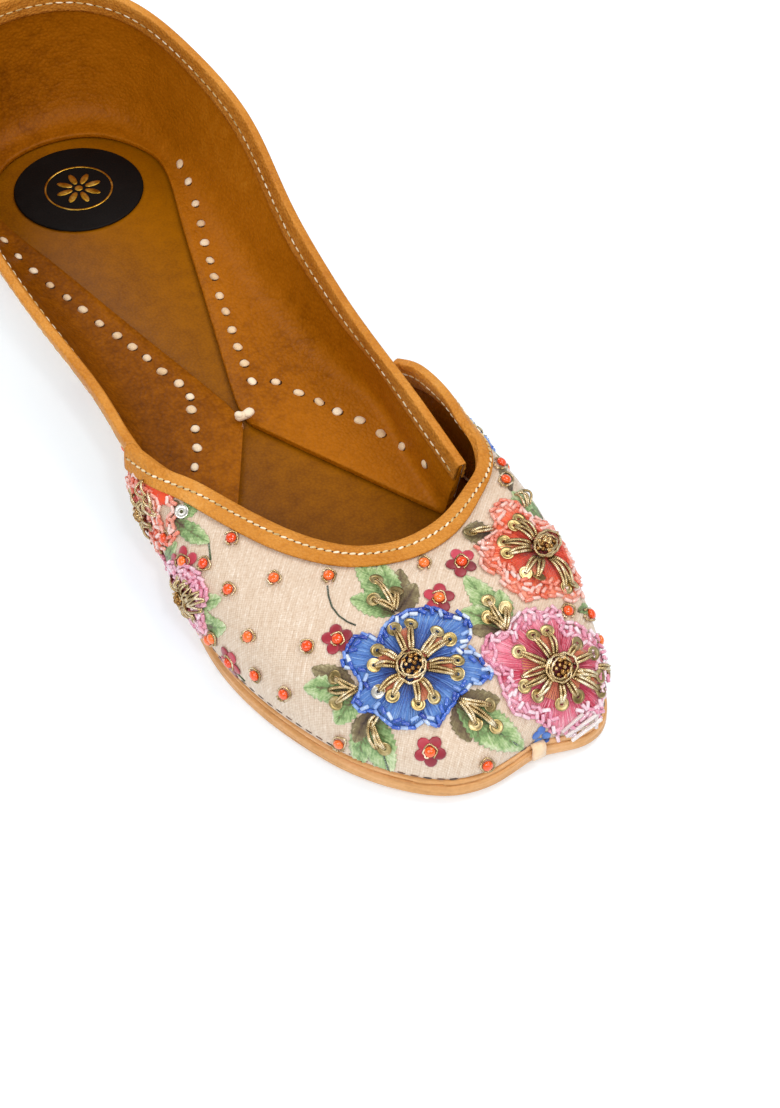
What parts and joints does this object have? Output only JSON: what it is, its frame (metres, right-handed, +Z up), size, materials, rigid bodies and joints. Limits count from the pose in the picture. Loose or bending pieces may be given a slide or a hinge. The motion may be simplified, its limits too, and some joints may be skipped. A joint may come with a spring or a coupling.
{
  "type": "flat slip-on jutti shoe",
  "caption": "Flat slip-on leather shoe with a short cloth-covered vamp, blunt notched toe, bound throat and low open quarter turned in over the insole.",
  "frame": {"origin": "on the ground under half the sole's length, on the heel's own axis", "axes": "+Y from toe to heel, +X to the medial side, +Z up"},
  "size_m": [0.0842, 0.2579, 0.048],
  "materials": {
    "sole_leather": "natural tan, smooth cut edge",
    "insole_leather": "polished brown tan",
    "lining_leather": "smooth brown tan",
    "binding_leather": "fine-grained orange tan",
    "vamp_cloth": "cream raw silk twill",
    "label_cloth": "black, slight sheen",
    "thread": "waxed cotton thread"
  },
  "bodies": {
    "root": {"outsole": "sole_leather", "midsole": "sole_leather", "insole": "insole_leather", "vamp": "vamp_cloth", "vamp_binding": "binding_leather", "quarter": "lining_leather", "quarter_binding": "binding_leather", "heel_label": "label_cloth", "centre_tie": "thread", "toe_tack": "thread"}
  },
  "joints": []
}
